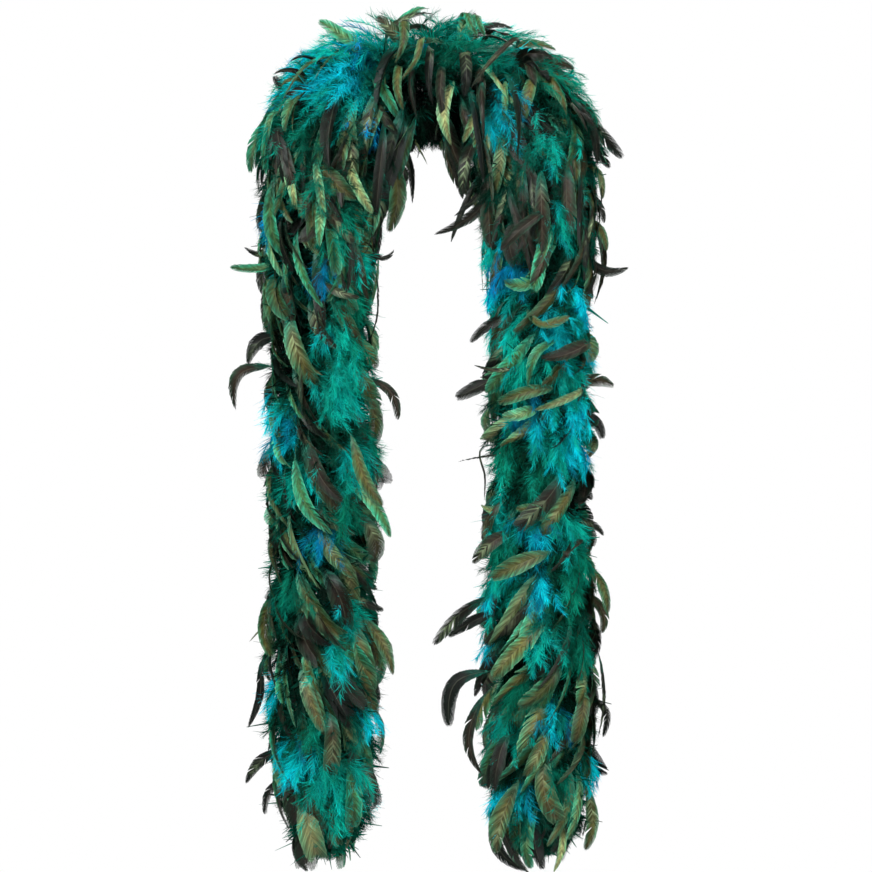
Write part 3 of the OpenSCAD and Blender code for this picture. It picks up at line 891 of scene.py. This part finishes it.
# Blades that stand out by themselves: breed, width, how far in front of the cord, and then x and z
# of the root, the bend and the tip, in millimetres.
STRAYS = [
    ("black", 10, 20, -143, 47, -165, 58, -173, 72), ("green", 12, 30, -159, 42, -184, 20, -192, -32),
    ("black", 8, 20, -150, 20, -182, 0, -186, -50), ("green", 10, 20, -150, -134, -189, -146, -218, -141),
    ("black", 6, 10, -155, -105, -180, -136, -203, -118),
    ("black", 13, 20, -172, -216, -192, -220, -198, -246),
    ("brown", 14, 20, -168, -247, -219, -247, -211, -295),
    ("green", 13, 40, -80, 100, -105, 122, -124, 132), ("brown", 13, 50, -32, 105, -45, 125, -60, 136),
    ("black", 10, 40, -50, 115, -22, 144, 4, 140), ("green", 9, 30, -40, 120, -20, 150, -2, 148),
    ("olive", 11, 90, -30, 128, -28, 104, -40, 80), ("olive", 9, 90, -10, 110, -12, 85, -34, 62),
    ("brown", 9, 90, -20, 85, -27, 52, -16, 22), ("olive", 9, 90, -34, 80, -40, 55, -30, 30),
    ("black", 11, 85, 0, 100, -6, 65, 2, 35), ("brown", 10, 85, 12, 80, 8, 50, 14, 20),
    ("green", 12, 90, -60, 66, -47, 44, -36, 23), ("black", 11, 90, -62, 40, -50, 20, -36, 3),
    ("olive", 6, 90, -54, 26, -46, 14, -36, 6), ("brown", 12, 80, -155, -5, -152, -40, -143, -72),
    ("black", 12, 80, -162, 10, -160, -25, -155, -58), ("black", 6, 50, -138, 68, -157, 78, -173, 70),
    ("olive", 7, 50, -135, 62, -155, 68, -166, 55), ("black", 7, 60, -130, 52, -155, 52, -163, 36),
    ("black", 9, 60, -128, 45, -147, 40, -150, 26), ("black", 6, 40, -118, 82, -140, 98, -155, 86),
    ("green", 7, 50, -165, 30, -182, 0, -183, -35), ("green", 9, 50, 36, 138, 43, 128, 51, 114),
    ("green", 8, 50, 46, 136, 53, 127, 59, 114), ("black", 6, 40, 60, 118, 78, 122, 95, 112),
    ("brown", 6, 90, 95, 108, 66, 87, 42, 52), ("black", 15, 70, 98, 88, 116, 93, 134, 87),
    ("black", 13, 80, 102, 82, 119, 74, 126, 60), ("brown", 11, 80, 100, 80, 110, 66, 111, 52),
    ("olive", 13, 90, 108, 64, 104, 36, 95, 8), ("brown", 11, 90, 50, 76, 57, 52, 52, 26),
    ("black", 12, 85, 35, 95, 40, 70, 36, 45), ("green", 9, 85, 78, 60, 82, 34, 76, 12),
    ("olive", 10, 80, 125, 62, 142, 45, 146, 20), ("black", 12, 80, 48, 0, 33, -32, 34, -66),
    ("olive", 14, 85, 80, 2, 74, -34, 68, -66), ("olive", 20, 70, 98, -685, 68, -735, 70, -768),
    ("black", 9, 40, 75, -730, 83, -770, 106, -793), ("cream", 7, 40, 138, -730, 145, -762, 131, -792),
    ("black", 3, 40, 128, -730, 121, -752, 110, -766), ("olive", 14, 80, 160, -600, 161, -628, 152, -650),
    ("olive", 17, 80, 124, -636, 114, -664, 100, -686), ("black", 14, 70, 82, -645, 66, -680, 68, -702),
    ("black", 10, 0, 18, 90, 20, 125, 33, 146), ("black", 7, 20, 31, 95, 58, 140, 91, 127),
    ("olive", 12, 30, 70, 80, 100, 117, 137, 101), ("brown", 14, 20, 92, 65, 125, 100, 158, 81),
    ("black", 12, 20, 100, 50, 129, 72, 156, 72), ("black", 15, 30, 135, 30, 180, 20, 209, -19),
    ("black", 14, 30, 135, 12, 174, 3, 195, -31), ("cream", 14, 80, 24, 64, 8, 29, 22, -8),
    ("cream", 9, 85, 50, 30, 43, 12, 34, -6), ("cream", 7, 20, 148, -29, 188, -26, 186, -66),
    ("black", 13, 40, 85, -40, 45, -93, 2, -106), ("black", 6, 30, 60, -30, 34, -72, 21, -113),
    ("black", 6, 20, 70, -45, 40, -75, 24, -85), ("olive", 16, 50, -58, 10, -26, -56, -47, -101),
    ("black", 17, 40, -45, 20, -28, -23, -31, -60), ("black", 8, 30, -34, 10, -20, -34, -21, -68),
    ("black", 14, 40, -60, 0, -40, -50, -46, -80), ("cream", 3, 30, -36, 33, -18, 3, -4, -25),
    ("black", 6, 20, -80, -120, -48, -138, -40, -121), ("black", 3, 20, -67, -134, -50, -186, -70, -228),
    ("brown", 10, 20, -78, -258, -36, -270, -36, -306),
    ("green", 13, 50, -93, -375, -56, -391, -43, -432), ("black", 8, 30, -93, -488, -69, -505, -51, -510),
    ("olive", 13, 30, -85, -510, -49, -540, -41, -581),
    ("green", 14, 75, -145, -333, -143, -398, -104, -428),
    ("brown", 12, 75, -132, -317, -124, -369, -94, -393),
    ("olive", 14, 70, -89, -317, -74, -371, -51, -398),
    ("black", 8, 10, -178, -561, -184, -610, -199, -640),
    ("black", 11, 10, -150, -660, -186, -668, -201, -700),
    ("black", 9, 10, -148, -690, -180, -702, -180, -733),
    ("black", 10, 20, -138, -725, -151, -771, -133, -793),
    ("brown", 12, 30, -110, -705, -103, -746, -110, -768),
    ("cream", 2, 10, -172, -520, -189, -536, -198, -547), ("black", 13, 30, 85, -252, 49, -271, 27, -282),
    ("black", 11, 40, 92, -190, 55, -204, 42, -223), ("brown", 5, 50, 96, -249, 70, -257, 45, -247),
    ("black", 3, 30, 80, -343, 47, -346, 28, -351), ("black", 2, 20, 56, -335, 59, -369, 57, -394),
    ("cream", 8, 30, 83, -396, 68, -408, 53, -397), ("black", 14, 30, 70, -495, 29, -508, 2, -548),
    ("black", 11, 20, 80, -510, 36, -525, 18, -540), ("black", 14, 30, 75, -575, 13, -576, 19, -636),
    ("brown", 12, 30, 65, -595, 27, -648, 55, -688), ("black", 10, 30, 85, -645, 64, -675, 61, -704),
    ("black", 10, 30, 92, -650, 80, -684, 72, -706), ("black", 13, 20, 75, -700, 58, -775, 104, -793),
    ("olive", 13, 30, 90, -700, 79, -760, 96, -786), ("brown", 12, 30, 138, -700, 148, -749, 130, -772),
    ("olive", 12, 20, 160, -690, 182, -738, 166, -771),
    ("black", 11, 10, 160, -130, 190, -150, 214, -140), ("olive", 9, 10, 160, -85, 189, -97, 190, -123),
    ("black", 9, 10, 158, -55, 186, -68, 188, -92), ("brown", 13, 20, 155, -265, 181, -259, 197, -269),
    ("black", 10, 10, 160, -295, 184, -308, 185, -326), ("black", 9, 10, 160, -415, 181, -418, 187, -431),
    ("olive", 10, 20, 160, -460, 189, -478, 191, -515), ("brown", 9, 10, 165, -494, 194, -513, 184, -537),
    ("black", 9, 10, 162, -603, 200, -615, 186, -650), ("black", 4, 10, 172, -543, 194, -599, 180, -652),
    ("olive", 18, 75, -122, -30, -96, -61, -80, -70), ("cream", 12, 75, -93, -28, -78, -62, -62, -84),
    ("green", 14, 60, -165, -40, -182, -110, -146, -135),
    ("brown", 10, 80, -116, -160, -94, -174, -76, -175),
    ("cream", 9, 70, -152, -36, -148, -61, -144, -82), ("olive", 13, 80, 131, -272, 102, -274, 71, -288),
    ("cream", 8, 80, 161, -273, 138, -288, 108, -296), ("green", 13, 80, 110, -295, 94, -303, 76, -303),
    ("olive", 18, 80, 130, -446, 98, -456, 64, -475), ("brown", 11, 80, 158, -436, 147, -446, 134, -460),
    ("brown", 14, 50, 85, -428, 58, -437, 45, -460), ("olive", 13, 80, 122, -411, 107, -400, 90, -401),
    ("brown", 11, 80, 122, -83, 97, -100, 73, -127), ("green", 14, 80, 114, -156, 95, -167, 78, -160),
    ("olive", 11, 80, 104, -188, 111, -213, 148, -195),
    ("brown", 15, 80, 167, -222, 144, -240, 116, -240),
    ("green", 10, 80, 134, -219, 107, -230, 103, -271),
]


LEG_FRONT, CROWN_FRONT = 0.064, 0.082       # strays lie no further in front of the cord
STRAY_WIDER = 1.4
CORD_STEPS = 1400
CURVE_STEPS = 20         # between two knots of a stray's curve
CURVE_OVERRUN = 0.2      # how far the curve is carried on, out of its length


def threaded(knots):
    """Smooth lines through rows of four knots, at even steps, carried on past the last knot."""
    before = 2 * knots[:, :1] - knots[:, 1:2]
    last, third, second_ = knots[:, -1:], knots[:, -2:-1], knots[:, -3:-2]
    after = 2 * last - third + 0.6 * (last - 2 * third + second_)
    k = np.concatenate([before, knots, after], 1)
    t = np.linspace(0, 1, CURVE_STEPS, endpoint=False).reshape(1, CURVE_STEPS, 1)
    runs = []
    for i in range(3):
        a, b, c, e = (k[:, i + j][:, None] for j in range(4))
        runs.append(0.5 * (2 * b + (c - a) * t + (2 * a - 5 * b + 4 * c - e) * t ** 2
                           + (3 * b - a - 3 * c + e) * t ** 3))
    fine = np.concatenate(runs + [last], 1)
    steps = np.linalg.norm(np.diff(fine, axis=1), axis=-1)
    run = np.concatenate([np.zeros((len(fine), 1)), np.cumsum(steps, 1)], 1)
    length = run[:, -1].copy()
    carry = (CURVE_OVERRUN * length / steps[:, -2:].sum(1))[:, None, None]
    over = fine[:, -1:] + (fine[:, -1:] - fine[:, -3:-2]) * carry
    fine = np.concatenate([fine, over], 1)
    run = np.concatenate([run, (1 + CURVE_OVERRUN) * length[:, None]], 1)
    s = np.linspace(0, OVERRUN, STATIONS)
    return np.stack([[np.interp(s * m, r, line[:, j]) for j in range(3)]
                     for line, r, m in zip(fine, run, length)]).transpose(0, 2, 1), length


def stray_blades(rng):
    """The strays as feathers with their own lines, each a curve through root, bend and tip."""
    n = len(STRAYS)
    breed = np.array([BREEDS[row[0]] for row in STRAYS])
    table = np.array([row[1:] for row in STRAYS]) / PER_METRE
    width, front, root, bend, tip = table[:, 0], table[:, 1], table[:, 2:4], table[:, 4:6], table[:, 6:8]
    steps = np.linspace(-CORD_LEN, CORD_LEN, CORD_STEPS)
    cord = path(steps)[0]
    far = np.hypot(root[:, :1] - cord[:, 0], root[:, 1:] - cord[:, 2])
    d = steps[far.argmin(1)]
    start = path(d)[0]
    front = np.minimum(front, np.where(np.abs(d) > CROWN_LEN, LEG_FRONT, CROWN_FRONT))

    def lifted(flat, share):
        return np.stack([flat[:, 0], start[:, 1] - front * share, flat[:, 1]], -1)

    bend = 0.6 * bend + 0.2 * (root + tip)
    knots = np.stack([start, lifted(root, 0.75), lifted(bend, 1.0), lifted(tip, 0.94)], 1)
    points, length = threaded(knots)
    ways = unit(np.gradient(points, axis=1))
    f = {"d": d, "roll": rng.normal(0, 0.3, n), "twist": rng.normal(0, 0.3, n),
         "width": STRAY_WIDER * width, "length": length,
         "sharp": rng.uniform(0.3, 1, n), "uneven": rng.uniform(0.7, 1.0, n),
         "cup": rng.uniform(0.05, 0.4, n), "tint": np.clip(breed + rng.normal(0, 0.03, n), 0, 1),
         "own": rng.uniform(0, 1, n), "shade": rng.uniform(0.8, 1.6, n)}
    face_on = unit(np.cross(ways[:, STATIONS // 2], np.array([0.0, -1.0, 0.0])))
    return f, framed(points, ways, face_on, f)


# ------------------------------------------------------------------ pieces

BUILD_SEED, ENDS_SEED = 20, 21
CROWN_PARTS = 4          # stretches on each side of the arch
HANGING_FROM = 3         # from this one on, the feathers hang down past the first hinge
ABOVE_HINGE = 30 * MM    # how far above the first hinge a leg's feathers begin
SHAFT, BLADE_SHAFT = 0.7 * MM, 1.1 * MM          # thickness at the foot
FIRM_FROM, STRAY_FIRM_FROM = 0.34, 0.42          # share of a blade's length where its vane starts
SOFT_PAST = 0.14         # how far past that its soft barbs go
# Each feather's cell of bake coordinates holds its whole width, or a blade's vane and its soft foot.
FULL, VANE_SIDE, SOFT_SIDE = (0.02, 0.98), (0.02, 0.66), (0.70, 0.98)


def stretches():
    """Each stretch of cord: its name, its side, its limits, its bodies and the CAD link it dresses."""
    half = LINK / 2
    part = (CROWN_LEN - ABOVE_HINGE) / CROWN_PARTS
    rows = []
    for name in SIDES:
        for k in range(1, CROWN_PARTS + 1):
            bodies = ("crown", f"{name}_1") if k >= HANGING_FROM else ("crown",)
            rows.append((f"crown_{name}_{k}", name, (k - 1) * part, k * part, bodies, "crown"))
        for k in range(1, LEG_LINKS + 1):
            link = f"{name}_{k}"
            hinge_d = CROWN_LEN + (k - 1) * LINK
            above = "crown" if k == 1 else f"{name}_{k - 1}"
            start = CROWN_PARTS * part if k == 1 else hinge_d - half
            rows.append((f"{name}_bend_{k}", name, start, hinge_d + half, (above, link), link))
        rows.append((f"{name}_end", name, CORD_LEN - half, CORD_LEN + LINK, (f"{name}_{LEG_LINKS}",), None))
    return rows


def in_stretch(side_name, d, low, high):
    """Marks the roots on a side's stretch; the top of the arch itself belongs to the right."""
    along_side = d * SIDES[side_name]
    start = along_side >= low if low > 0 or side_name == "right" else along_side > 0
    return start & (along_side < high)


def follow(piece, bodies):
    """The piece rides on its body; one that spans a hinge between two bodies is left fixed in place."""
    if len(bodies) == 1:
        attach(piece, bodies[0])
        return
    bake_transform(piece)


def dye_of(f):
    """What the meshes' dye attribute holds."""
    return np.stack([f["tint"], f["own"], f["shade"]], -1)


def cell_grid(*groups):
    """How many cells of bake coordinates a row needs, for a square of them."""
    return math.ceil(math.sqrt(sum(len(f["d"]) for f in groups)))


def fluff_piece(name, under, outer, rng, look):
    """The down of one stretch: a dense layer by the cord, darkened as painted shade, and the plumes over
    it.
    """
    soup = Soup()
    cell = (0, FULL, cell_grid(under, outer))
    down_barbs(soup, shafts(under), under, dye_of(under), rng, span=(0.12, 1.0), per_side=20, rings=3,
               reach=under["width"], width=4.0 * MM, loose=0.4, look=cell)
    line = shafts(outer)
    down_barbs(soup, line, outer, dye_of(outer), rng, span=(0.22, 1.0), per_side=64, rings=4,
               reach=outer["width"], width=0.9 * MM, loose=0.22, look=cell)
    rachis(soup, line, outer, dye_of(outer), SHAFT, cell)
    piece = soup.mesh(name)
    piece.data.materials.append(look)
    return piece


def feather_piece(name, lying, strays, stray_line, rng, blade_look, down_look):
    """The blades of one stretch, each with the soft barbs at its foot."""
    soup = Soup()
    grid = cell_grid(lying, strays)
    for f, line, firm in ((lying, shafts(lying), FIRM_FROM), (strays, stray_line, STRAY_FIRM_FROM)):
        if not len(f["d"]):
            continue
        dye = dye_of(f)
        vane(soup, line, f, dye, rng, firm, per_side=34, look=(0, VANE_SIDE, grid))
        rachis(soup, line, f, dye, BLADE_SHAFT, (0, VANE_SIDE, grid))
        soft = dye.copy()
        soft[:, 0] = np.clip(rng.normal(0.36, 0.12, len(soft)), 0, 1)
        soft[:, 2] = 0.7
        down_barbs(soup, line, f, soft, rng, span=(0.08, firm + SOFT_PAST), per_side=22, rings=4,
                   reach=f["width"] * 0.7, width=1.1 * MM, loose=0.3, look=(1, SOFT_SIDE, grid))
    piece = soup.mesh(name)
    piece.data.materials.append(blade_look)
    piece.data.materials.append(down_look)
    return piece


def build():
    """Grows the feathers and gathers them into pieces."""
    rng = np.random.default_rng(BUILD_SEED)
    down_look, blade_look = down_material(), blade_material()
    under = joined(under_down(rng), end_down(np.random.default_rng(ENDS_SEED)))
    outer, blades = joined(outer_down(rng), tuft_down(rng)), lying_blades(rng)
    strays, stray_line = stray_blades(rng)
    for name, side_name, low, high, bodies, dressed in stretches():
        def here(f):
            return in_stretch(side_name, f["d"], low, high)

        piece = fluff_piece(f"fluff_{name}", take(under, here(under)), take(outer, here(outer)), rng,
                            down_look)
        follow(piece, bodies)
        if dressed:
            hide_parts(f"down_{dressed}")
        lines = tuple(v[here(strays)] for v in stray_line)
        piece = feather_piece(f"feathers_{name}", take(blades, here(blades)), take(strays, here(strays)),
                              lines, rng, blade_look, down_look)
        follow(piece, bodies)
        if dressed:
            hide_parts(f"plumes_{dressed}")


def dress_hidden():
    """The CAD's own cord, tape, thread, whippings and knots get their cloth."""
    looks = {
        "core": woven_material("core_cord", (0.012, 0.014, 0.014), (0.05, 0.055, 0.055), 900.0),
        "tape": woven_material("string_tape", (0.008, 0.045, 0.042), (0.02, 0.11, 0.10), 1400.0),
        "stitches": woven_material("thread", (0.004, 0.12, 0.11), (0.02, 0.3, 0.27), 2500.0),
    }
    looks["whipping"], looks["knot"] = looks["stitches"], looks["core"]
    for name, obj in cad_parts.items():
        kind = name.split("_")[0]
        if kind in looks:
            obj.data.materials.clear()
            obj.data.materials.append(looks[kind])


# ------------------------------------------------------------------ floor, light and camera

VIEW_CENTRE = np.array([0.005, LEG_Y, -0.323])
VIEW_SIZE = 0.948
VIEW_DISTANCE = 3.0
SENSOR = 36.0
FLOOR_R, FLOOR_Z, FLOOR_CORNERS = 2.0, -1.25, 64
LIGHT_OF_AIR, SEEN_AIR = 0.22, 0.78      # strength of the world, and what the camera sees on top
# Lamps: (name, place, size, power).
LAMPS = [
    ("key", (-1.3, -2.2, 1.5), 0.9, 150.0),
    ("fill", (1.8, -1.9, 0.2), 1.4, 60.0),
    ("back", (0.3, 2.0, 1.5), 1.4, 60.0),
]


def add_camera(scene):
    """A camera that looks level at the boa from the front."""
    camera = bpy.data.cameras.new("camera")
    camera.sensor_width = SENSOR
    camera.lens = SENSOR * VIEW_DISTANCE / VIEW_SIZE
    holder = add_object("camera", camera)
    holder.location = VIEW_CENTRE - np.array([0, VIEW_DISTANCE, 0])
    holder.rotation_euler = (math.pi / 2, 0, 0)
    scene.camera = holder


def add_floor():
    """A round pale floor, far below the boa."""
    mesh = bpy.data.meshes.new("floor")
    rim = np.linspace(0, 2 * math.pi, FLOOR_CORNERS, endpoint=False)
    mesh.from_pydata([(FLOOR_R * math.cos(a), FLOOR_R * math.sin(a), FLOOR_Z) for a in rim], [],
                     [list(range(FLOOR_CORNERS))])
    floor = add_object("floor", mesh)
    pale, tree = new_material("floor")
    show(tree, node(tree, "ShaderNodeBsdfPrincipled",
                    **{"Base Color": (0.8, 0.8, 0.8, 1), "Roughness": 0.6}))
    mesh.materials.append(pale)


def add_world(scene):
    """White air, brighter to the camera than to the boa."""
    world = bpy.data.worlds.new("world")
    scene.world = world
    world.use_nodes = True
    tree = world.node_tree
    background = tree.nodes["Background"]
    seen = tree.nodes.new("ShaderNodeLightPath").outputs["Is Camera Ray"]
    feed(tree, background.inputs["Strength"], scaled(tree, seen, SEEN_AIR, LIGHT_OF_AIR))
    background.inputs["Color"].default_value = (1, 1, 1, 1)


def stage():
    """Everything round the boa."""
    scene = bpy.context.scene
    scene.view_settings.view_transform = "Standard"
    add_camera(scene)
    add_floor()
    add_world(scene)
    for name, spot, size, power in LAMPS:
        lamp = bpy.data.lights.new(name, "AREA")
        lamp.size = size
        lamp.energy = power
        light = add_object(name, lamp)
        light.location = spot
        aim = VIEW_CENTRE - np.array(spot)
        light.rotation_euler = Vector(aim).to_track_quat("-Z", "Y").to_euler()


stage()
build()
dress_hidden()
